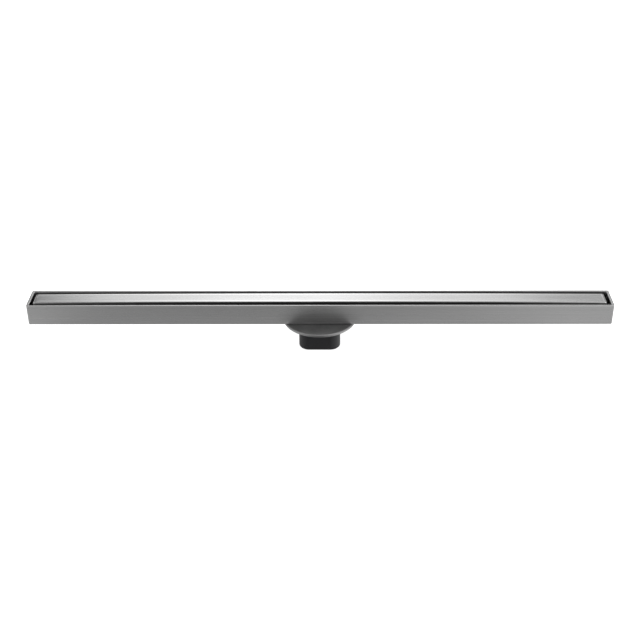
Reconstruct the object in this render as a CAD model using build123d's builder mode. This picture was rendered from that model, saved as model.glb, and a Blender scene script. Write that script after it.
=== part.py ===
"""Linear floor drain: folded steel trough, loose solid cover plate, round flange and black outlet.

Millimetres. X runs along the trough, +Y to the back, +Z up. The origin is on the outlet's axis,
in the flat bottom face of the outlet housing.
"""

from build123d import *
import os

os.makedirs("parts", exist_ok=True)

# ---------------------------------------------------------------- driving dimensions
LENGTH = 900.0          # trough, outside
WIDTH = 47.4            # trough, outside
DEPTH = 33.5            # trough, outside, underside to rim
SHEET = 1.2             # steel sheet
CORNER_R = 2.6          # trough's upright corners, outside
BEND_R = 1.5            # bends along the trough's bottom, outside
RIM = 3.6               # width of the turned-in rim along the sides
RIM_END = 3.9           # and at the ends
RIM_OUT_R = 0.6         # the rim's outer edge, dressed nearly square
RIM_IN_R = 1.5          # the rim's inner bend
LIP_DROP = 6.0          # the rim's inner return, from the rim's top
OUTLET_R = 18.0         # outlet hole in trough and flange

Z_RIM = 75.5            # rim's top face
Z_UNDER = Z_RIM - DEPTH             # trough's underside
Z_FLOOR = Z_UNDER + SHEET           # trough's floor, inside

PLATE_L = 882.6         # cover plate
PLATE_W = 30.2
PLATE_X = -0.6          # the loose plate lies a little to the left
PLATE_SKIRT = 10.0      # depth of the plate's turned-down edges
PLATE_END_Z = Z_RIM - 0.2           # top of the plate at its ends
PLATE_CAMBER = 1.2      # the plate's middle stands this much higher than its ends
PLATE_BEND_R = 2.8
PLATE_CORNER_R = 3.6

LEG_X = (-390.0, -130.0, 130.0, 390.0)
LEG_L = 24.0            # along the trough
LEG_TOP_Z = 72.5
LEG_BEND_R = 2.2
PAD_T = 2.0
PAD_L = 20.0
PAD_W = 22.0
PAD_R = 3.0

FLANGE_R = 56.4
FLANGE_T = 1.5
FLANGE_LIP = 3.4        # height of the turned-down lip, outside
FLANGE_BEND_R = 3.0

GASKET_T = 2.0
GASKET_W = 60.0
GASKET_R = 14.0

HOUSING_W = 64.0
HOUSING_R = 16.0        # upright corners
HOUSING_FOOT_R = 3.0    # rounding of the bottom edge
HOUSING_TOP_R = 0.8
THROAT_R = 20.0
SOCKET_R = 25.2         # takes a 50 mm pipe
SOCKET_DEPTH = 27.0
SOCKET_LEAD = 0.8
GROOVE_R = 27.6
GROOVE_Z = (11.5, 18.5)

SCREW_PCR = 30.9        # the screws stand in the housing's corners
SCREW_R = 2.0
SCREW_HOLE_R = 2.25
SCREW_LEN = 30.0
SCREW_HEAD_R = 3.5
SCREW_HEAD_H = 4.0
SCREW_SEAT_Z = 10.0     # where the head's shoulder bears, and the pocket's depth
POCKET_R = 4.0
NUT_AF = 7.0
NUT_H = 3.2
NUT_RECESS_R = 4.7

STRAINER_RIM_R = 20.4
STRAINER_CUP_R = 17.2
STRAINER_T = 1.0
STRAINER_BOTTOM_Z = 30.0

Z_FLANGE_UNDER = Z_UNDER - FLANGE_T
Z_HOUSING_TOP = Z_FLANGE_UNDER - GASKET_T


# ---------------------------------------------------------------- trough
# Sheet folded up on four sides, welded at the corners, its top edge turned in and down again.
with BuildPart() as channel_trough:
    with BuildSketch(Plane.XY.offset(Z_UNDER)):
        RectangleRounded(LENGTH, WIDTH, CORNER_R)
    extrude(amount=DEPTH)
    fillet(channel_trough.faces().sort_by(Axis.Z)[0].outer_wire().edges(), BEND_R)
    fillet(channel_trough.faces().sort_by(Axis.Z)[-1].outer_wire().edges(), RIM_OUT_R)
    # the hollow, up to the underside of the rim
    with BuildSketch(Plane.XY.offset(Z_FLOOR)):
        RectangleRounded(LENGTH - 2 * SHEET, WIDTH - 2 * SHEET, CORNER_R - SHEET)
    extrude(amount=DEPTH - 2 * SHEET, mode=Mode.SUBTRACT)
    floor_face = channel_trough.faces().filter_by(Axis.Z).group_by(Axis.Z)[1].sort_by(SortBy.AREA)[-1]
    fillet(floor_face.outer_wire().edges(), BEND_R - SHEET)
    # the rim's inner return
    with BuildSketch(Plane.XY.offset(Z_RIM - LIP_DROP)):
        RectangleRounded(LENGTH - 2 * (RIM_END - SHEET), WIDTH - 2 * (RIM - SHEET), 1.6)
        RectangleRounded(LENGTH - 2 * RIM_END, WIDTH - 2 * RIM, 1.5, mode=Mode.SUBTRACT)
    extrude(amount=LIP_DROP - SHEET)
    # the mouth
    with BuildSketch(Plane.XY.offset(Z_RIM - SHEET)):
        RectangleRounded(LENGTH - 2 * RIM_END, WIDTH - 2 * RIM, 1.5)
    extrude(amount=SHEET, mode=Mode.SUBTRACT)
    rim_face = channel_trough.faces().filter_by(Axis.Z).sort_by(Axis.Z)[-1]
    fillet(rim_face.inner_wires().edges(), RIM_IN_R)
    # the outlet hole
    with Locations((0, 0, Z_FLOOR)):
        Hole(OUTLET_R, depth=SHEET + 1)
channel_trough.part.label = "channel_trough"
export_step(channel_trough.part, "parts/channel_trough.step")


# ---------------------------------------------------------------- cover plate
# An inverted tray, bowed up a little along its length. The core is the space inside its skirts.
plate_x0 = PLATE_X - PLATE_L / 2
plate_x1 = PLATE_X + PLATE_L / 2
with BuildPart() as plate_core:
    with BuildSketch(Plane.XZ):
        with BuildLine():
            ThreePointArc(
                (plate_x0 + SHEET, PLATE_END_Z - SHEET),
                (PLATE_X, PLATE_END_Z - SHEET + PLATE_CAMBER),
                (plate_x1 - SHEET, PLATE_END_Z - SHEET),
            )
            Polyline(
                (plate_x1 - SHEET, PLATE_END_Z - SHEET),
                (plate_x1 - SHEET, PLATE_END_Z - PLATE_SKIRT - 5),
                (plate_x0 + SHEET, PLATE_END_Z - PLATE_SKIRT - 5),
                (plate_x0 + SHEET, PLATE_END_Z - SHEET),
            )
        make_face()
    extrude(amount=PLATE_W / 2 - SHEET, both=True)
    fillet(plate_core.edges().filter_by(Axis.Z), PLATE_CORNER_R - SHEET)
    fillet(plate_core.faces().sort_by(Axis.Z)[-1].outer_wire().edges(), PLATE_BEND_R - SHEET)

with BuildPart() as cover_plate:
    with BuildSketch(Plane.XZ):
        with BuildLine():
            ThreePointArc(
                (plate_x0, PLATE_END_Z),
                (PLATE_X, PLATE_END_Z + PLATE_CAMBER),
                (plate_x1, PLATE_END_Z),
            )
            Polyline(
                (plate_x1, PLATE_END_Z),
                (plate_x1, PLATE_END_Z - PLATE_SKIRT),
                (plate_x0, PLATE_END_Z - PLATE_SKIRT),
                (plate_x0, PLATE_END_Z),
            )
        make_face()
    extrude(amount=PLATE_W / 2, both=True)
    fillet(cover_plate.edges().filter_by(Axis.Z), PLATE_CORNER_R)
    fillet(cover_plate.faces().sort_by(Axis.Z)[-1].outer_wire().edges(), PLATE_BEND_R)
    add(plate_core.part, mode=Mode.SUBTRACT)
cover_plate.part.label = "cover_plate"
export_step(cover_plate.part, "parts/cover_plate.step")


# ---------------------------------------------------------------- plate legs and their pads
leg_w = PLATE_W - 2 * SHEET
leg_z = Z_FLOOR + PAD_T
for number, x in enumerate(LEG_X, 1):
    # a strip folded to a U, its uprights welded inside the plate's skirts
    with BuildPart() as plate_leg:
        with BuildSketch(Plane.YZ.offset(x - LEG_L / 2)):
            with Locations((0, (leg_z + LEG_TOP_Z) / 2)):
                Rectangle(leg_w, LEG_TOP_Z - leg_z)
            with Locations((0, (leg_z + LEG_TOP_Z) / 2 + SHEET)):
                Rectangle(leg_w - 2 * SHEET, LEG_TOP_Z - leg_z, mode=Mode.SUBTRACT)
        extrude(amount=LEG_L)
        along = plate_leg.edges().filter_by(Axis.X).group_by(Axis.Z)
        fillet(along[0], LEG_BEND_R)
        inside = plate_leg.edges().filter_by(Axis.X).filter_by(
            lambda e: abs(e.center().Z - (leg_z + SHEET)) < 0.01 and abs(abs(e.center().Y) - (leg_w / 2 - SHEET)) < 0.01
        )
        fillet(inside, LEG_BEND_R - SHEET)
        fillet(plate_leg.edges().filter_by(Axis.Y).group_by(Axis.Z)[-1], 3.0)
        # drain hole in the web
        with Locations((x, 0, leg_z + SHEET)):
            Hole(4.0, depth=SHEET + 1)
    plate_leg.part.label = f"plate_leg_{number}"
    export_step(plate_leg.part, f"parts/plate_leg_{number}.step")

    with BuildPart() as leg_pad:
        with BuildSketch(Plane.XY.offset(Z_FLOOR)):
            with Locations((x, 0)):
                RectangleRounded(PAD_L, PAD_W, PAD_R)
        extrude(amount=PAD_T)
        chamfer(leg_pad.faces().sort_by(Axis.Z)[0].edges(), 0.4)
    leg_pad.part.label = f"leg_pad_{number}"
    export_step(leg_pad.part, f"parts/leg_pad_{number}.step")


# ---------------------------------------------------------------- flange
# A pressed disc with its edge turned down, welded under the trough.
with BuildPart() as outlet_flange:
    with BuildSketch(Plane.XZ):
        with BuildLine():
            Polyline(
                (OUTLET_R, Z_UNDER),
                (FLANGE_R, Z_UNDER),
                (FLANGE_R, Z_UNDER - FLANGE_LIP),
                (FLANGE_R - FLANGE_T, Z_UNDER - FLANGE_LIP),
                (FLANGE_R - FLANGE_T, Z_FLANGE_UNDER),
                (OUTLET_R, Z_FLANGE_UNDER),
                close=True,
            )
        make_face()
    revolve(axis=Axis.Z)
    rings = outlet_flange.edges().filter_by(GeomType.CIRCLE)
    fillet(rings.filter_by(lambda e: abs(e.radius - FLANGE_R) < 0.01).sort_by(Axis.Z)[-1], FLANGE_BEND_R)
    rings = outlet_flange.edges().filter_by(GeomType.CIRCLE)
    fillet(
        rings.filter_by(lambda e: abs(e.radius - FLANGE_R + FLANGE_T) < 0.01).sort_by(Axis.Z)[-1],
        FLANGE_BEND_R - FLANGE_T,
    )
outlet_flange.part.label = "outlet_flange"
export_step(outlet_flange.part, "parts/outlet_flange.step")


# ---------------------------------------------------------------- strainer
# A drawn cup with a flat rim, slotted round its wall and pierced in its bottom.
with BuildPart() as hair_strainer:
    with BuildSketch(Plane.XZ):
        with BuildLine():
            Polyline(
                (0, STRAINER_BOTTOM_Z),
                (STRAINER_CUP_R, STRAINER_BOTTOM_Z),
                (STRAINER_CUP_R, Z_FLOOR),
                (STRAINER_RIM_R, Z_FLOOR),
                (STRAINER_RIM_R, Z_FLOOR + STRAINER_T),
                (STRAINER_CUP_R - STRAINER_T, Z_FLOOR + STRAINER_T),
                (STRAINER_CUP_R - STRAINER_T, STRAINER_BOTTOM_Z + STRAINER_T),
                (0, STRAINER_BOTTOM_Z + STRAINER_T),
                close=True,
            )
        make_face()
    revolve(axis=Axis.Z)
    rings = hair_strainer.edges().filter_by(GeomType.CIRCLE)
    fillet(rings.filter_by(lambda e: abs(e.radius - STRAINER_CUP_R) < 0.01).sort_by(Axis.Z)[0], 1.8)
    rings = hair_strainer.edges().filter_by(GeomType.CIRCLE)
    fillet(rings.filter_by(lambda e: abs(e.radius - STRAINER_CUP_R + STRAINER_T) < 0.01).sort_by(Axis.Z)[0], 0.8)
    rings = hair_strainer.edges().filter_by(GeomType.CIRCLE)
    fillet(rings.filter_by(lambda e: abs(e.radius - STRAINER_CUP_R + STRAINER_T) < 0.01).sort_by(Axis.Z)[-1], 0.9)
    with BuildSketch(Plane.XY.offset(STRAINER_BOTTOM_Z - 1)):
        Circle(1.7)
        with PolarLocations(5.2, 6):
            Circle(1.7)
        with PolarLocations(10.4, 12):
            Circle(1.7)
    extrude(amount=STRAINER_T + 2, mode=Mode.SUBTRACT)
    for step in range(12):
        side = Plane.XZ.rotated((0, 0, 30.0 * step)).move(Location((0, 0, STRAINER_BOTTOM_Z + 6.6)))
        with BuildSketch(side):
            SlotOverall(7.6, 2.8, rotation=90)
        extrude(amount=STRAINER_CUP_R + 2, mode=Mode.SUBTRACT)
hair_strainer.part.label = "hair_strainer"
export_step(hair_strainer.part, "parts/hair_strainer.step")


# ---------------------------------------------------------------- gasket
with BuildPart() as flange_gasket:
    with BuildSketch(Plane.XY.offset(Z_HOUSING_TOP)):
        RectangleRounded(GASKET_W, GASKET_W, GASKET_R)
        Circle(THROAT_R, mode=Mode.SUBTRACT)
        with PolarLocations(SCREW_PCR, 4, start_angle=45):
            Circle(NUT_RECESS_R, mode=Mode.SUBTRACT)
    extrude(amount=GASKET_T)
flange_gasket.part.label = "flange_gasket"
export_step(flange_gasket.part, "parts/flange_gasket.step")


# ---------------------------------------------------------------- outlet housing
# Rounded-square moulding: a throat above, a pipe socket with a seal groove below.
with BuildPart() as outlet_housing:
    with BuildSketch(Plane.XY):
        RectangleRounded(HOUSING_W, HOUSING_W, HOUSING_R)
    extrude(amount=Z_HOUSING_TOP)
    fillet(outlet_housing.faces().sort_by(Axis.Z)[0].edges(), HOUSING_FOOT_R)
    fillet(outlet_housing.faces().sort_by(Axis.Z)[-1].edges(), HOUSING_TOP_R)
    with BuildSketch(Plane.XY):
        Circle(THROAT_R)
    extrude(amount=Z_HOUSING_TOP, mode=Mode.SUBTRACT)
    with BuildSketch(Plane.XY):
        Circle(SOCKET_R)
    extrude(amount=SOCKET_DEPTH, mode=Mode.SUBTRACT)
    with BuildSketch(Plane.XY.offset(GROOVE_Z[0])):
        Circle(GROOVE_R)
    extrude(amount=GROOVE_Z[1] - GROOVE_Z[0], mode=Mode.SUBTRACT)
    mouth = outlet_housing.edges().filter_by(GeomType.CIRCLE).filter_by(
        lambda e: abs(e.radius - SOCKET_R) < 0.01 and abs(e.center().Z) < 0.01
    )
    chamfer(mouth, SOCKET_LEAD)
    with BuildSketch(Plane.XY):
        with PolarLocations(SCREW_PCR, 4, start_angle=45):
            Circle(POCKET_R)
    extrude(amount=SCREW_SEAT_Z, mode=Mode.SUBTRACT)
    with BuildSketch(Plane.XY):
        with PolarLocations(SCREW_PCR, 4, start_angle=45):
            Circle(SCREW_HOLE_R)
    extrude(amount=Z_HOUSING_TOP, mode=Mode.SUBTRACT)
    with BuildSketch(Plane.XY.offset(Z_FLANGE_UNDER - NUT_H - 0.4)):
        with PolarLocations(SCREW_PCR, 4, start_angle=45):
            Circle(NUT_RECESS_R)
    extrude(amount=NUT_H + 0.4, mode=Mode.SUBTRACT)
outlet_housing.part.label = "outlet_housing"
export_step(outlet_housing.part, "parts/outlet_housing.step")


# ---------------------------------------------------------------- pipe seal
# Two-lipped rubber ring, drawn as a pipe would press it, flush with the socket's wall.
seal_in = SOCKET_R + 0.1
seal_out = GROOVE_R - 0.05
z0 = GROOVE_Z[0]
z1 = GROOVE_Z[1] - 0.1
with BuildPart() as pipe_seal:
    with BuildSketch(Plane.XZ):
        with BuildLine():
            Polyline(
                (seal_out, z0),
                (seal_out, z1),
                (seal_in + 1.1, z1),
                (seal_in, z1 - 1.3),
                (seal_in, z1 - 2.0),
                (seal_in + 1.0, z1 - 3.0),
                (seal_in, z1 - 4.6),
                (seal_in, z1 - 5.3),
                (seal_in + 1.1, z0),
                close=True,
            )
        make_face()
    revolve(axis=Axis.Z)
pipe_seal.part.label = "pipe_seal"
export_step(pipe_seal.part, "parts/pipe_seal.step")


# ---------------------------------------------------------------- weld nuts
with BuildPart() as weld_nuts:
    with BuildSketch(Plane.XY.offset(Z_FLANGE_UNDER - NUT_H)):
        with PolarLocations(SCREW_PCR, 4, start_angle=45):
            RegularPolygon(NUT_AF / 2, 6, major_radius=False)
            Circle(SCREW_R + 0.05, mode=Mode.SUBTRACT)
    extrude(amount=NUT_H)
weld_nuts.part.label = "weld_nuts"
export_step(weld_nuts.part, "parts/weld_nuts.step")


# ---------------------------------------------------------------- housing screws
with BuildPart() as housing_screws:
    with BuildSketch(Plane.XY.offset(SCREW_SEAT_Z - SCREW_HEAD_H)):
        with PolarLocations(SCREW_PCR, 4, start_angle=45):
            Circle(SCREW_HEAD_R)
    extrude(amount=SCREW_HEAD_H)
    fillet(housing_screws.edges().filter_by(GeomType.CIRCLE).group_by(Axis.Z)[0], 0.5)
    with BuildSketch(Plane.XY.offset(SCREW_SEAT_Z)):
        with PolarLocations(SCREW_PCR, 4, start_angle=45):
            Circle(SCREW_R)
    extrude(amount=SCREW_LEN)
    with BuildSketch(Plane.XY.offset(SCREW_SEAT_Z - SCREW_HEAD_H)):
        with PolarLocations(SCREW_PCR, 4, start_angle=45):
            RegularPolygon(1.5, 6, major_radius=False)
    extrude(amount=2.2, mode=Mode.SUBTRACT)
    chamfer(housing_screws.edges().filter_by(GeomType.CIRCLE).group_by(Axis.Z)[-1], 0.5)
housing_screws.part.label = "housing_screws"
export_step(housing_screws.part, "parts/housing_screws.step")
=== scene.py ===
import math

import bmesh
import bpy
from mathutils import Matrix, Vector


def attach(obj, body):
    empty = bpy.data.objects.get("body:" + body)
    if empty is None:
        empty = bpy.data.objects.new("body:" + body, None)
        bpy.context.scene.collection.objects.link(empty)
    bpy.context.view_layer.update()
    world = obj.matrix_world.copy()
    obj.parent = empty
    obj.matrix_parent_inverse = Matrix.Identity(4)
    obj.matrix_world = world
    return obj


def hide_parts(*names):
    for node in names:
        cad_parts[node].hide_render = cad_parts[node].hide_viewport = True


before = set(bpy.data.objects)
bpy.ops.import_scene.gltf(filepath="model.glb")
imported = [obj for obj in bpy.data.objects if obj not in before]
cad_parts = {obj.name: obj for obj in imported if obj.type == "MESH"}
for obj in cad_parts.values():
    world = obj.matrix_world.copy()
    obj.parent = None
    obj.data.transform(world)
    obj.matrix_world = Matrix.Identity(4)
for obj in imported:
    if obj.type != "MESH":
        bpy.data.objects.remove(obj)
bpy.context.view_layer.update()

scene = bpy.context.scene
MM = 0.001

# ---------------------------------------------------------------- sizes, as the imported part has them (mm)
LENGTH, WIDTH, SHEET = 900.0, 47.4, 1.2
Z_RIM, Z_UNDER = 75.5, 42.0
Z_FLOOR = Z_UNDER + SHEET
CORNER_R, BEND_R, LIP_DROP = 2.6, 1.5, 6.0
RIM, RIM_END, RIM_OUT_R, RIM_IN_R = 3.6, 3.9, 0.6, 1.5
OUTLET_R = 18.0
PLATE_L, PLATE_W, PLATE_X = 882.6, 30.2, -0.6
PLATE_END_Z, PLATE_CAMBER, PLATE_SKIRT = 75.3, 1.2, 10.0
PLATE_BEND_R, PLATE_CORNER_R = 2.8, 3.6
FLANGE_R, FLANGE_T, FLANGE_LIP, FLANGE_BEND_R = 56.39, 1.5, 3.4, 3.0


# ---------------------------------------------------------------- mesh helpers
def ring(hx, hy, r, nx, ny, nc):
    """Rounded rectangle, counter-clockwise from above: (x, y, distance along it), the same count for every size."""
    pts = []
    corners = ((1, 1, 0), (-1, 1, 90), (-1, -1, 180), (1, -1, 270))
    for k, (sx, sy, a0) in enumerate(corners):
        cx, cy = sx * (hx - r), sy * (hy - r)
        for i in range(nc + 1):
            a = math.radians(a0 + 90.0 * i / nc)
            pts.append((cx + r * math.cos(a), cy + r * math.sin(a)))
        tx, ty, _ = corners[(k + 1) % 4]
        a = math.radians(a0 + 90.0)
        x0, y0 = cx + r * math.cos(a), cy + r * math.sin(a)
        x1, y1 = tx * (hx - r) + r * math.cos(a), ty * (hy - r) + r * math.sin(a)
        n = nx if k % 2 == 0 else ny
        for i in range(1, n):
            t = i / n
            pts.append((x0 + (x1 - x0) * t, y0 + (y1 - y0) * t))
    return pts


def along_ring(pts):
    d = [0.0]
    for i in range(1, len(pts) + 1):
        a, b = pts[i - 1], pts[i % len(pts)]
        d.append(d[-1] + math.hypot(b[0] - a[0], b[1] - a[1]))
    return d


def new_object(name, bm, materials, sharp_deg=32.0):
    """Smooth-shaded object from a bmesh, with hard edges kept and flats weighted."""
    bmesh.ops.recalc_face_normals(bm, faces=bm.faces)
    limit = math.radians(sharp_deg)
    for f in bm.faces:
        f.smooth = True
    for e in bm.edges:
        if len(e.link_faces) == 2 and e.calc_face_angle(0.0) > limit:
            e.smooth = False
    mesh = bpy.data.meshes.new(name)
    bm.to_mesh(mesh)
    bm.free()
    obj = bpy.data.objects.new(name, mesh)
    scene.collection.objects.link(obj)
    for m in materials:
        mesh.materials.append(m)
    w = obj.modifiers.new("flat_faces", "WEIGHTED_NORMAL")
    w.keep_sharp = True
    w.weight = 80
    return obj


def arc(cx, cz, r, a0, a1, n):
    return [
        (cx + r * math.cos(math.radians(a0 + (a1 - a0) * i / n)), cz + r * math.sin(math.radians(a0 + (a1 - a0) * i / n)))
        for i in range(n + 1)
    ]


# ---------------------------------------------------------------- node helpers
def nodes_of(name):
    mat = bpy.data.materials.new(name)
    mat.use_nodes = True
    nt = mat.node_tree
    nt.nodes.clear()
    out = nt.nodes.new("ShaderNodeOutputMaterial")
    bsdf = nt.nodes.new("ShaderNodeBsdfPrincipled")
    nt.links.new(bsdf.outputs["BSDF"], out.inputs["Surface"])
    return mat, nt, bsdf


def node(nt, kind, **values):
    n = nt.nodes.new(kind)
    for key, value in values.items():
        if key.startswith("in_"):
            n.inputs[key[3:].replace("_", " ")].default_value = value
        else:
            setattr(n, key, value)
    return n


def noise(nt, vector, scale, detail=2.0, rough=0.5):
    """Noise read along a vector stretched by scale, which is (x, y, z) in waves a metre."""
    m = node(nt, "ShaderNodeMapping")
    m.inputs["Scale"].default_value = scale
    nt.links.new(vector, m.inputs["Vector"])
    n = node(nt, "ShaderNodeTexNoise", in_Scale=1.0, in_Detail=detail, in_Roughness=rough)
    nt.links.new(m.outputs["Vector"], n.inputs["Vector"])
    return n.outputs["Fac"]


def remap(nt, value, lo, hi, a, b):
    n = node(nt, "ShaderNodeMapRange")
    n.clamp = True
    for key, v in (("From Min", lo), ("From Max", hi), ("To Min", a), ("To Max", b)):
        n.inputs[key].default_value = v
    nt.links.new(value, n.inputs["Value"])
    return n.outputs["Result"]


def math_node(nt, op, a, b=None):
    n = node(nt, "ShaderNodeMath", operation=op)
    for i, v in enumerate((a, b)):
        if v is None:
            continue
        if isinstance(v, (int, float)):
            n.inputs[i].default_value = v
        else:
            nt.links.new(v, n.inputs[i])
    return n.outputs["Value"]


def grey(nt, value, tint=(1.0, 1.0, 1.0)):
    n = node(nt, "ShaderNodeCombineColor")
    for key, t in zip(("Red", "Green", "Blue"), tint):
        nt.links.new(math_node(nt, "MULTIPLY", value, t), n.inputs[key])
    return n.outputs["Color"]


def bump(nt, bsdf, height, strength, distance):
    b = node(nt, "ShaderNodeBump", in_Strength=strength, in_Distance=distance)
    nt.links.new(height, b.inputs["Height"])
    nt.links.new(b.outputs["Normal"], bsdf.inputs["Normal"])


def brushed_steel(name, base, rough, aniso, streak, painted_light_gain, tint=(1.0, 1.0, 1.0)):
    """Brushed steel. The UV map holds metres: U across the grain, V along it."""
    mat, nt, bsdf = nodes_of(name)
    uv = node(nt, "ShaderNodeUVMap", uv_map="grain").outputs["UV"]
    fine = noise(nt, uv, (4200.0, 14.0, 1.0), 3.0, 0.6)
    mid = noise(nt, uv, (900.0, 2.4, 1.0), 2.0, 0.55)
    wide = noise(nt, uv, (260.0, 0.9, 1.0), 2.0, 0.5)
    blotch = noise(nt, uv, (22.0, 9.0, 1.0), 2.0, 0.5)
    painted_light = node(nt, "ShaderNodeAttribute", attribute_name="painted_light").outputs["Fac"]
    # tone: fine scratches, broader bands, and painted highlights and painted shade from a per-point attribute
    tone = math_node(nt, "ADD", remap(nt, fine, 0.3, 0.7, -0.5, 0.5), math_node(nt, "ADD", remap(nt, mid, 0.3, 0.7, -0.6, 0.6), remap(nt, wide, 0.3, 0.7, -0.6, 0.6)))
    tone = math_node(nt, "ADD", math_node(nt, "MULTIPLY", tone, streak), remap(nt, blotch, 0.3, 0.7, -0.012, 0.012))
    # painted highlight above 0, painted shade below 0
    tone = math_node(nt, "ADD", tone, math_node(nt, "MULTIPLY", painted_light, painted_light_gain))
    nt.links.new(grey(nt, math_node(nt, "ADD", tone, base), tint), bsdf.inputs["Base Color"])
    r = math_node(nt, "ADD", remap(nt, mid, 0.3, 0.7, rough - 0.045, rough + 0.045), remap(nt, fine, 0.3, 0.7, -0.03, 0.03))
    r = math_node(nt, "ADD", r, remap(nt, blotch, 0.3, 0.7, -0.02, 0.02))
    r = math_node(nt, "SUBTRACT", r, math_node(nt, "MULTIPLY", painted_light, 0.05))
    nt.links.new(r, bsdf.inputs["Roughness"])
    bsdf.inputs["Metallic"].default_value = 1.0
    bsdf.inputs["Anisotropic"].default_value = aniso
    t = node(nt, "ShaderNodeTangent", direction_type="UV_MAP", uv_map="grain")
    nt.links.new(t.outputs["Tangent"], bsdf.inputs["Tangent"])
    bump(nt, bsdf, math_node(nt, "ADD", fine, mid), 0.25, 0.00002)
    return mat


def satin_steel(name, base, rough, grain=(600.0, 600.0, 600.0), painted_light_gain=0.0):
    """Pressed or mill-finished steel: an even satin with faint mottling; if asked, painted highlights and painted shade
    from a per-point attribute make it lighter or darker and a little smoother.
    """
    mat, nt, bsdf = nodes_of(name)
    at = node(nt, "ShaderNodeTexCoord").outputs["Object"]
    fine = noise(nt, at, grain, 3.0, 0.6)
    blotch = noise(nt, at, (60.0, 60.0, 60.0), 3.0, 0.55)
    tone = math_node(nt, "ADD", remap(nt, fine, 0.3, 0.7, base - 0.02, base + 0.02), remap(nt, blotch, 0.3, 0.7, -0.02, 0.02))
    r = math_node(nt, "ADD", remap(nt, fine, 0.3, 0.7, rough - 0.04, rough + 0.04), remap(nt, blotch, 0.3, 0.7, -0.03, 0.03))
    if painted_light_gain:
        # painted highlights and painted shade from the per-point attribute
        painted_light = node(nt, "ShaderNodeAttribute", attribute_name="painted_light").outputs["Fac"]
        tone = math_node(nt, "ADD", tone, math_node(nt, "MULTIPLY", painted_light, painted_light_gain))
        r = math_node(nt, "SUBTRACT", r, math_node(nt, "MULTIPLY", painted_light, 0.08))
    nt.links.new(grey(nt, tone), bsdf.inputs["Base Color"])
    nt.links.new(r, bsdf.inputs["Roughness"])
    bsdf.inputs["Metallic"].default_value = 1.0
    bump(nt, bsdf, fine, 0.15, 0.00003)
    return mat


def moulded(name, base, rough, pores, depth, sheen):
    """Black moulded plastic or rubber: fine even texture, faint flow mottling."""
    mat, nt, bsdf = nodes_of(name)
    at = node(nt, "ShaderNodeTexCoord").outputs["Object"]
    fine = noise(nt, at, (pores, pores, pores), 2.0, 0.5)
    flow = noise(nt, at, (45.0, 45.0, 90.0), 3.0, 0.6)
    tone = math_node(nt, "ADD", remap(nt, flow, 0.3, 0.7, 0.86, 1.14), remap(nt, fine, 0.3, 0.7, -0.06, 0.06))
    nt.links.new(grey(nt, tone, base), bsdf.inputs["Base Color"])
    r = math_node(nt, "ADD", remap(nt, fine, 0.3, 0.7, rough - 0.05, rough + 0.05), remap(nt, flow, 0.3, 0.7, -0.03, 0.03))
    nt.links.new(r, bsdf.inputs["Roughness"])
    bsdf.inputs["Specular IOR Level"].default_value = sheen
    bump(nt, bsdf, fine, 0.25, depth)
    return mat


trough_steel = brushed_steel("trough_brushed_steel", 0.52, 0.3, 0.85, 0.03, 0.18)
plate_steel = brushed_steel("plate_brushed_steel", 0.57, 0.21, 0.9, 0.03, 0.13)
flange_steel = satin_steel("flange_satin_steel", 0.302, 0.5, painted_light_gain=0.16)
pressed_steel = satin_steel("pressed_mill_steel", 0.5, 0.34, (300.0, 1500.0, 1500.0))
screw_steel = satin_steel("bright_screw_steel", 0.55, 0.26, (2500.0, 2500.0, 2500.0))
black_plastic = moulded("black_moulded_plastic", (0.0094, 0.0093, 0.0112), 0.38, 1600.0, 0.00003, 0.33)
black_rubber = moulded("black_rubber", (0.014, 0.014, 0.014), 0.72, 2600.0, 0.00004, 0.4)


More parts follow.
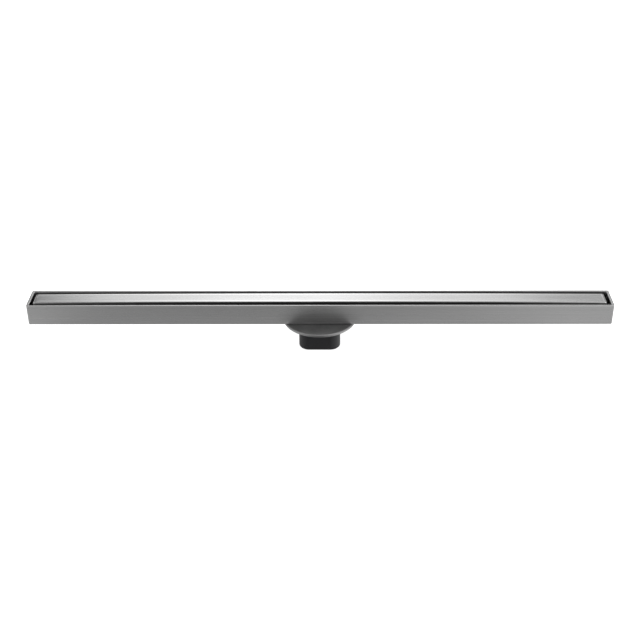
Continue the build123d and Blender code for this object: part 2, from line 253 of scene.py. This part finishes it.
# ---------------------------------------------------------------- swept shells
def shell(name, hx, hy, profile, materials, nx, ny, nc, lift=None, centre=(0.0, 0.0), hole=None, painted_light_at=None, lengthwise=False):
    """A folded sheet: rings of a rounded rectangle at each (inset, z, corner radius, extra inset at the ends) of the
    profile, from the outside of the lower cap to the inside of the other one, then both caps. lift(x, z) raises points;
    hole is a round hole's radius through both caps. A function given for the painted light, called with (j, x, y), says
    how much painted highlight (above 0) or painted shade (below 0) a point of profile row j gets.
    The grain follows the ring, or with lengthwise it runs along x over the ends too."""
    bm = bmesh.new()
    uv = bm.loops.layers.uv.new("grain")
    painted_light = bm.verts.layers.float.new("painted_light")
    outer = ring(hx, hy, profile[0][2] if profile[0][2] > 0.3 else 1.0, nx, ny, nc)
    v_at = along_ring(ring(hx, hy, CORNER_R, nx, ny, nc))
    rings, across = [], [0.0]
    for j, (inset, z, r, end) in enumerate(profile):
        pts = ring(hx - inset - end, hy - inset, max(r, 0.05), nx, ny, nc)
        row = []
        for x, y in pts:
            zz = z + (lift(x, z) if lift else 0.0)
            v = bm.verts.new(((x + centre[0]) * MM, (y + centre[1]) * MM, zz * MM))
            v[painted_light] = painted_light_at(j, x, y) if painted_light_at else 0.0
            row.append(v)
        rings.append(row)
        if j:
            across.append(across[-1] + math.hypot(inset - profile[j - 1][0], z - profile[j - 1][1]))
    count = len(outer)
    for j in range(len(rings) - 1):
        for i in range(count):
            k = (i + 1) % count
            f = bm.faces.new((rings[j][i], rings[j][k], rings[j + 1][k], rings[j + 1][i]))
            us = (across[j], across[j], across[j + 1], across[j + 1])
            vs = (v_at[i], v_at[i + 1], v_at[i + 1], v_at[i])
            if lengthwise and abs(outer[k][1] - outer[i][1]) > abs(outer[k][0] - outer[i][0]):
                us, vs = vs, us
            for loop, u, v in zip(f.loops, us, vs):
                loop[uv].uv = (u * MM, v * MM)
    caps = []
    circles = []
    for row in (rings[0], rings[-1]):
        if hole is None:
            caps += cap_strips(bm, row, nx, ny, nc)
        else:
            n = 96
            z = row[0].co.z
            circle = [
                bm.verts.new((hole * MM * math.cos(2 * math.pi * i / n), hole * MM * math.sin(2 * math.pi * i / n), z))
                for i in range(n)
            ]
            circles.append(circle)
            caps += cap_with_hole(bm, row, circle, nx, ny, nc)
    if circles:
        a, b = circles
        n = len(a)
        for i in range(n):
            k = (i + 1) % n
            f = bm.faces.new((a[i], b[i], b[k], a[k]))
            for loop in f.loops:
                loop[uv].uv = (loop.vert.co.z, i / n * hole * 6.283 * MM)
    for f in caps:
        for loop in f.loops:
            loop[uv].uv = (loop.vert.co.y, loop.vert.co.x)
    return new_object(name, bm, materials)


def sides(row, nx, ny, nc):
    """A ring's vertices as its back side (+x to -x), left side, front side (-x to +x) and right side, ends included."""
    n = len(row)
    at, out = 0, []
    for k in range(4):
        at += nc
        step = nx if k % 2 == 0 else ny
        out.append([row[(at + i) % n] for i in range(step + 1)])
        at += step
    return out


def cap_ends(bm, row, nx, ny, nc):
    """The two ends of a cap, beyond the straight long sides, each as two fans so that no triangle is flat."""
    n = len(row)
    back0, back1 = nc, nc + nx
    front0 = nc + nx + nc + ny + nc
    front1 = front0 + nx
    left = [row[i] for i in range(back1, front0 + 1)]
    right = [row[i % n] for i in range(front1, n + back0 + 1)]
    faces = []
    for pts in (left, right):
        mid = len(pts) // 2
        faces += [bm.faces.new((pts[0], pts[i], pts[i + 1])) for i in range(1, mid)]
        faces.append(bm.faces.new((pts[0], pts[mid], pts[-1])))
        faces += [bm.faces.new((pts[-1], pts[i], pts[i + 1])) for i in range(mid, len(pts) - 2)]
    return faces


def cap_strips(bm, row, nx, ny, nc):
    back, _, front, _ = sides(row, nx, ny, nc)
    front = front[::-1]
    faces = [bm.faces.new((back[i], back[i + 1], front[i + 1], front[i])) for i in range(nx)]
    return faces + cap_ends(bm, row, nx, ny, nc)


def cap_with_hole(bm, row, circle, nx, ny, nc):
    back, _, front, _ = sides(row, nx, ny, nc)
    front = front[::-1]
    r = max(v.co.x for v in circle)
    faces, near = [], []
    for i in range(nx):
        if max(back[i].co.x, back[i + 1].co.x) <= -r * 1.02 or min(back[i].co.x, back[i + 1].co.x) >= r * 1.02:
            faces.append(bm.faces.new((back[i], back[i + 1], front[i + 1], front[i])))
        else:
            near.append(i)
    a, b = near[0], near[-1] + 1
    edge = [bm.edges.get((back[i], back[i + 1])) for i in range(a, b)]
    edge += [bm.edges.get((front[i], front[i + 1])) for i in range(a, b)]
    edge += [bm.edges.get((back[a], front[a])), bm.edges.get((back[b], front[b]))]
    n = len(circle)
    edge += [bm.edges.new((circle[i], circle[(i + 1) % n])) for i in range(n)]
    made = bmesh.ops.triangle_fill(bm, use_beauty=True, use_dissolve=False, edges=edge)
    faces += [g for g in made["geom"] if isinstance(g, bmesh.types.BMFace)]
    return faces + cap_ends(bm, row, nx, ny, nc)


# trough: outside of the floor, bends, wall, rim, its inner return, inner wall, floor
prof = []
end = RIM_END - RIM
for x, z in arc(BEND_R, Z_UNDER + BEND_R, BEND_R, 270, 180, 8):
    prof.append((x, z, CORNER_R - x, 0.0))
prof += [(0.0, Z_UNDER + 9.5, CORNER_R, 0.0), (0.0, Z_RIM - RIM_OUT_R - 1.5, CORNER_R, 0.0)]
rim_a = len(prof)
for x, z in arc(RIM_OUT_R, Z_RIM - RIM_OUT_R, RIM_OUT_R, 180, 90, 6):
    prof.append((x, z, CORNER_R - x, 0.0))
for x, z in arc(RIM - RIM_IN_R, Z_RIM - RIM_IN_R, RIM_IN_R, 90, 0, 8):
    prof.append((x, z, 1.5 + RIM - x, end))
rim_b = len(prof)
prof += [(RIM, Z_RIM - LIP_DROP, 1.5, end), (RIM - SHEET, Z_RIM - LIP_DROP, 1.6, end), (RIM - SHEET, Z_RIM - SHEET, 1.6, end)]
prof += [(SHEET, Z_RIM - SHEET, CORNER_R - SHEET, 0.0)]
for x, z in arc(BEND_R, Z_UNDER + BEND_R, BEND_R - SHEET, 180, 270, 6):
    prof.append((x, z, CORNER_R - x, 0.0))


def rim_painted_light(j, x, y):
    """Painted light on the trough: the rim gets a painted highlight, brighter than the walls and most along its front
    edge; within about 70 mm of the middle, above the flange, the walls get painted shade low down and a painted
    highlight near the top.
    """
    # painted shade and highlight on the walls' middle, above the flange
    near_flange = min(1.0, max(0.0, (70.0 - abs(x)) / 42.0))
    if j == rim_a - 2:
        return -0.85 * near_flange
    if j == rim_a - 1:
        return 0.55 * near_flange
    if not rim_a <= j < rim_b:
        return 0.0
    # painted highlight on the rim: faint at the back, strongest on the front's outer bend
    if y > 0.0:
        return 0.15
    return 1.0 if j == rim_a else 0.28


trough = shell(
    "channel_trough_sheet", LENGTH / 2, WIDTH / 2, prof, [trough_steel], 90, 6, 10, hole=OUTLET_R,
    painted_light_at=rim_painted_light, lengthwise=True,
)
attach(trough, "root")
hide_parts("channel_trough")


# cover plate: from the underside of its top, down inside the skirts, up outside them, over the bends to the top
def camber(x, z):
    if z < PLATE_END_Z - 4.0:
        return 0.0
    half = PLATE_L / 2
    return PLATE_CAMBER * (1.0 - (x / half) ** 2)


inner_r = PLATE_BEND_R - SHEET
prof = []
for x, z in arc(PLATE_BEND_R, PLATE_END_Z - PLATE_BEND_R, inner_r, 90, 180, 6):
    prof.append((x, z, max(PLATE_CORNER_R - x, 0.08), 0.0))
z_low = PLATE_END_Z - PLATE_SKIRT
prof += [(SHEET, z_low + 0.15, PLATE_CORNER_R - SHEET, 0.0), (SHEET - 0.15, z_low, PLATE_CORNER_R - SHEET + 0.15, 0.0)]
prof += [(0.15, z_low, PLATE_CORNER_R - 0.15, 0.0), (0.0, z_low + 0.15, PLATE_CORNER_R, 0.0)]
bend_a = len(prof)
for x, z in arc(PLATE_BEND_R, PLATE_END_Z - PLATE_BEND_R, PLATE_BEND_R, 180, 90, 10):
    prof.append((x, z, max(PLATE_CORNER_R - x, 0.2), 0.0))
# the top's border rings start here; the first of them carries a painted highlight
painted_border = len(prof)
prof += [(PLATE_BEND_R + inset, PLATE_END_Z, 0.2, 0.0) for inset in (1.2, 2.8, 7.0)]


def plate_painted_light(j, x, y):
    """Painted light on the plate: skirts and bends get painted shade, most along the front's middle; the end bends and
    the top's border get painted highlights.
    """
    middle = min(1.0, max(0.0, 2.5 - 2.5 * abs(x) / (PLATE_L / 2))) if y < 0.0 else 0.0
    # painted shade on the skirts and lower bends, darkest along the front's middle
    if j < bend_a + 6:
        return -3.1 - 0.7 * middle
    if j < painted_border:
        # painted highlight on the end bends, painted shade on the other bends
        return 0.9 if abs(x) > PLATE_L / 2 - PLATE_CORNER_R else -0.3 - 1.5 * middle
    # painted highlights along the top's border rings, at the back and the front
    if y > 0.0:
        return 1.8 if j == painted_border else 0.0
    if j == painted_border:
        return 1.1 - 0.9 * min(1.0, max(0.0, (-80.0 - x) / 120.0)) - 0.5 * min(1.0, max(0.0, (-300.0 - x) / 90.0))
    return 0.55 * min(1.0, max(0.0, (x + 390.0) / 150.0), max(0.0, (200.0 - x) / 120.0)) if j == painted_border + 1 else 0.0


plate = shell(
    "cover_plate_sheet", PLATE_L / 2, PLATE_W / 2, prof, [plate_steel], 88, 6, 8, lift=camber,
    centre=(PLATE_X, 0.0), painted_light_at=plate_painted_light, lengthwise=True,
)
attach(plate, "root")
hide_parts("cover_plate")


# ---------------------------------------------------------------- flange, turned about the outlet's axis
def turned(name, loop_pts, materials, n=192, painted_light_at=None):
    """A ring turned from a closed (radius, z) outline. A function given for the painted light, called with (j, a), says
    how much painted highlight (above 0) or painted shade (below 0) its point j gets at the angle a.
    """
    bm = bmesh.new()
    uv = bm.loops.layers.uv.new("grain")
    painted_light = bm.verts.layers.float.new("painted_light")
    cols = []
    for i in range(n):
        a = 2 * math.pi * i / n
        col = []
        for j, (r, z) in enumerate(loop_pts):
            v = bm.verts.new((r * MM * math.cos(a), r * MM * math.sin(a), z * MM))
            v[painted_light] = painted_light_at(j, a) if painted_light_at else 0.0
            col.append(v)
        cols.append(col)
    m = len(loop_pts)
    for i in range(n):
        for j in range(m):
            k, l = (i + 1) % n, (j + 1) % m
            f = bm.faces.new((cols[i][j], cols[k][j], cols[k][l], cols[i][l]))
            for loop in f.loops:
                loop[uv].uv = (loop.vert.co.x, loop.vert.co.y)
    return new_object(name, bm, materials)


z_fu = Z_UNDER - FLANGE_T
bend_c = (FLANGE_R - FLANGE_BEND_R, Z_UNDER - FLANGE_BEND_R)
z_lip = Z_UNDER - FLANGE_LIP
prof = [(OUTLET_R, Z_UNDER)]
prof += [(r, Z_UNDER) for r in (26.0, 36.0, 46.0)]
prof += arc(bend_c[0], bend_c[1], FLANGE_BEND_R, 90, 0, 10)
prof += [(FLANGE_R, z_lip + 0.3), (FLANGE_R - 0.3, z_lip), (FLANGE_R - FLANGE_T + 0.3, z_lip), (FLANGE_R - FLANGE_T, z_lip + 0.3)]
prof += arc(bend_c[0], bend_c[1], FLANGE_BEND_R - FLANGE_T, 0, 90, 6)
prof += [(46.0, z_fu), (36.0, z_fu), (26.0, z_fu), (OUTLET_R, z_fu)]


def lip_painted_light(j, a):
    """Painted light on the flange's edge: the bend's upper part gets a painted highlight at the front and back; its
    lower part and the edge's outer face get a painted highlight at the sides and painted shade at the front and back.
    """
    side = min(1.0, 1.6 * abs(math.cos(a)))
    # painted highlight on the bend's upper part, at the front and back
    if 4 <= j < 9:
        return 1.2 - 1.2 * side
    # painted highlight at the sides, painted shade at the front and back, low on the bend and outer face
    return -0.8 + 1.2 * side if 10 <= j < 16 else 0.0


flange = turned("outlet_flange_pan", prof, [flange_steel], painted_light_at=lip_painted_light)
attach(flange, "root")
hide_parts("outlet_flange")


# ---------------------------------------------------------------- finishes of the other pieces
def finish_node(name, mat):
    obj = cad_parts[name]
    obj.data.materials.clear()
    obj.data.materials.append(mat)


finish_node("outlet_housing", black_plastic)
finish_node("hair_strainer", pressed_steel)
finish_node("flange_gasket", black_rubber)
finish_node("pipe_seal", black_rubber)
finish_node("weld_nuts", screw_steel)
finish_node("housing_screws", screw_steel)
for i in range(1, 5):
    finish_node(f"plate_leg_{i}", pressed_steel)
    finish_node(f"leg_pad_{i}", black_rubber)


# ---------------------------------------------------------------- stage: white table, soft light, camera
floor_mesh = bpy.data.meshes.new("floor")
fb = bmesh.new()
bmesh.ops.create_grid(fb, x_segments=1, y_segments=1, size=30.0)
fb.to_mesh(floor_mesh)
fb.free()
floor = bpy.data.objects.new("floor", floor_mesh)
scene.collection.objects.link(floor)
mat, nt, bsdf = nodes_of("white_table")
at = node(nt, "ShaderNodeTexCoord").outputs["Object"]
tone = remap(nt, noise(nt, at, (3.0, 3.0, 3.0), 3.0, 0.5), 0.3, 0.7, 0.84, 0.86)
nt.links.new(grey(nt, tone), bsdf.inputs["Base Color"])
bsdf.inputs["Roughness"].default_value = 0.9
bsdf.inputs["Specular IOR Level"].default_value = 0.0
bsdf.inputs["Emission Color"].default_value = (1.0, 1.0, 1.0, 1.0)
bsdf.inputs["Emission Strength"].default_value = 0.86
floor_mesh.materials.append(mat)
# in the steel's reflection the table shows painted light: two soft painted pools of light in front of the channel's
# ends, painted shade that deepens away from the channel and a painted shadow in front of the outlet
floor_at = node(nt, "ShaderNodeSeparateXYZ")
nt.links.new(at, floor_at.inputs["Vector"])
fx, fy = floor_at.outputs["X"], floor_at.outputs["Y"]
reach = math_node(nt, "MULTIPLY", fy, -0.78)
left_pool = remap(nt, math_node(nt, "SUBTRACT", math_node(nt, "MULTIPLY", fx, -1.0), math_node(nt, "SUBTRACT", 0.488, reach)), -0.03, 0.05, 0.0, 1.0)
right_reach = math_node(nt, "MULTIPLY", fy, -0.6)
right_pool = remap(nt, math_node(nt, "SUBTRACT", fx, math_node(nt, "SUBTRACT", 0.445, right_reach)), -0.08, 0.08, 0.0, 1.0)
in_front = remap(nt, fy, 0.0, -0.04, 0.0, 1.0)
pools = math_node(nt, "MULTIPLY", math_node(nt, "MAXIMUM", left_pool, right_pool), in_front)
glow = node(nt, "ShaderNodeEmission")
glow.inputs["Strength"].default_value = 0.74
# painted shade on the reflected table: darker away from the channel, held to its own level toward the right
near_rise = remap(nt, fy, -0.18, -0.06, 0.6, 1.0)
to_right = math_node(nt, "SUBTRACT", remap(nt, fx, 0.25, 0.42, 0.72, 0.88), near_rise)
fall = math_node(nt, "ADD", near_rise, math_node(nt, "MULTIPLY", to_right, remap(nt, fx, 0.15, 0.3, 0.0, 1.0)))
nt.links.new(grey(nt, fall), glow.inputs["Color"])
clear = node(nt, "ShaderNodeBsdfTransparent")
# painted shadow: the see-through table is dimmed around a point in front of the outlet
from_outlet = math_node(nt, "SQRT", math_node(nt, "ADD", math_node(nt, "POWER", math_node(nt, "MULTIPLY", fx, 1.7), 2.0), math_node(nt, "POWER", math_node(nt, "ADD", fy, 0.13), 2.0)))
nt.links.new(grey(nt, math_node(nt, "MULTIPLY", fall, remap(nt, from_outlet, 0.02, 0.115, 0.42, 1.0))), clear.inputs["Color"])
mirrored = node(nt, "ShaderNodeMixShader")
nt.links.new(pools, mirrored.inputs["Fac"])
nt.links.new(clear.outputs["BSDF"], mirrored.inputs[1])
nt.links.new(glow.outputs["Emission"], mirrored.inputs[2])
which = node(nt, "ShaderNodeMixShader")
nt.links.new(node(nt, "ShaderNodeLightPath").outputs["Is Glossy Ray"], which.inputs["Fac"])
nt.links.new(bsdf.outputs["BSDF"], which.inputs[1])
nt.links.new(mirrored.outputs["Shader"], which.inputs[2])
for n in nt.nodes:
    if n.bl_idname == "ShaderNodeOutputMaterial":
        nt.links.new(which.outputs["Shader"], n.inputs["Surface"])

# world: a dark studio with one soft box behind, brighter in its middle, pale side walls and a grey table front
world = bpy.data.worlds.new("studio")
scene.world = world
world.use_nodes = True
wt = world.node_tree
wt.nodes.clear()
w_out = wt.nodes.new("ShaderNodeOutputWorld")
w_bg = wt.nodes.new("ShaderNodeBackground")
wt.links.new(w_bg.outputs["Background"], w_out.inputs["Surface"])
sky = node(wt, "ShaderNodeTexCoord").outputs["Generated"]
sep = node(wt, "ShaderNodeSeparateXYZ")
wt.links.new(sky, sep.inputs["Vector"])
DEG = 180.0 / math.pi
aside = math_node(wt, "MULTIPLY", math_node(wt, "ARCSINE", sep.outputs["X"]), DEG)                           # + to the right
tilt = math_node(wt, "MULTIPLY", math_node(wt, "ARCTAN2", sep.outputs["Y"], sep.outputs["Z"]), DEG)           # 0 up, 90 back
lift = math_node(wt, "MULTIPLY", math_node(wt, "ARCSINE", sep.outputs["Z"]), DEG)                             # above the horizon
far_aside = math_node(wt, "ABSOLUTE", aside)


def ramp(value, lo, hi, a=0.0, b=1.0):
    """Soft step: a below lo, b above hi."""
    n = node(wt, "ShaderNodeMapRange", interpolation_type="SMOOTHSTEP")
    for key, v in (("From Min", lo), ("From Max", hi), ("To Min", a), ("To Max", b)):
        n.inputs[key].default_value = v
    wt.links.new(value, n.inputs["Value"])
    return n.outputs["Result"]


def times(*values):
    out = values[0]
    for v in values[1:]:
        out = math_node(wt, "MULTIPLY", out, v)
    return out


def total(*values):
    out = values[0]
    for v in values[1:]:
        out = math_node(wt, "ADD", out, v)
    return out


box_wide = times(ramp(aside, -17.8, -10.5, 0.0, 1.24), total(ramp(aside, 12.4, 8.0, 0.0, 0.48), ramp(aside, 19.0, 14.0, 0.0, 0.52)))
box_core = times(ramp(aside, -11.0, -2.5, 0.0, 0.62), ramp(aside, 8.0, -2.0))
box_tall = times(ramp(tilt, 100.0, 82.0), ramp(tilt, 39.0, 53.0))
back_box = times(total(box_wide, box_core), box_tall)
ends = total(ramp(aside, -12.5, -15.5, 0.0, 0.3), ramp(aside, 9.5, 12.5, 0.0, 0.36))
overhead = times(total(times(ends, ramp(tilt, -85.0, -35.0)), times(total(ramp(aside, 5.0, 14.0, 0.0, 0.5), ramp(aside, -4.0, -11.0, 0.0, 0.13), 0.085), ramp(tilt, -30.0, -5.0)), times(ramp(far_aside, 16.0, 24.0, 0.0, 0.36), ramp(tilt, -100.0, -60.0))), ramp(tilt, 52.0, 30.0))
front_sky = times(ramp(tilt, -40.0, -57.0, 0.0, 0.28), ramp(tilt, -115.0, -90.0), ramp(far_aside, 50.0, 25.0))
table_front = times(ramp(tilt, -90.0, -112.0), ramp(tilt, -160.0, -132.0, 0.2, 1.0), ramp(far_aside, 50.0, 25.0), ramp(aside, 0.0, 12.5, 0.495, 0.91))
table_back = times(ramp(tilt, 104.0, 118.0, 0.0, 0.46), ramp(tilt, 172.0, 150.0), ramp(far_aside, 50.0, 25.0))
back_sides = times(ramp(far_aside, 23.0, 33.0, 0.0, 0.75), ramp(tilt, 20.0, 50.0), ramp(tilt, 105.0, 85.0))
side_walls = times(ramp(far_aside, 24.0, 50.0), ramp(lift, 35.0, 0.0), ramp(lift, -75.0, -35.0, 0.3, 1.0), ramp(aside, -10.0, 10.0, 0.65, 1.2))
level = total(back_box, overhead, front_sky, table_front, table_back, back_sides, side_walls)
level = math_node(wt, "ADD", level, 0.01)
seen = node(wt, "ShaderNodeLightPath").outputs["Is Camera Ray"]
shown = node(wt, "ShaderNodeMix", data_type="FLOAT")
wt.links.new(seen, shown.inputs["Factor"])
wt.links.new(level, shown.inputs["A"])
shown.inputs["B"].default_value = 1.0
wt.links.new(shown.outputs["Result"], w_bg.inputs["Strength"])
w_bg.inputs["Color"].default_value = (1.0, 1.0, 1.0, 1.0)

cam = bpy.data.cameras.new("camera")
cam.sensor_fit = "HORIZONTAL"
cam.sensor_width = 36.0
cam.lens = 1138.4 / 640.0 * 36.0
cam.clip_start, cam.clip_end = 0.01, 100.0
cam_obj = bpy.data.objects.new("camera", cam)
scene.collection.objects.link(cam_obj)
pitch, yaw, roll = math.radians(30.943), math.radians(-0.704), math.radians(-0.406)
fwd = Vector((math.sin(yaw) * math.cos(pitch), math.cos(yaw) * math.cos(pitch), -math.sin(pitch)))
right = Vector((math.cos(yaw), -math.sin(yaw), 0.0))
up = right.cross(fwd)
r2 = right * math.cos(roll) + up * math.sin(roll)
u2 = up * math.cos(roll) - right * math.sin(roll)
m = Matrix((
    (r2.x, u2.x, -fwd.x, 0.0192),
    (r2.y, u2.y, -fwd.y, -1.5257),
    (r2.z, u2.z, -fwd.z, 0.8752 + Z_RIM * MM),
    (0.0, 0.0, 0.0, 1.0),
))
cam_obj.matrix_world = m
scene.camera = cam_obj

scene.view_settings.view_transform = "Standard"
scene.view_settings.look = "None"
scene.view_settings.exposure = 0.0
scene.view_settings.gamma = 1.0
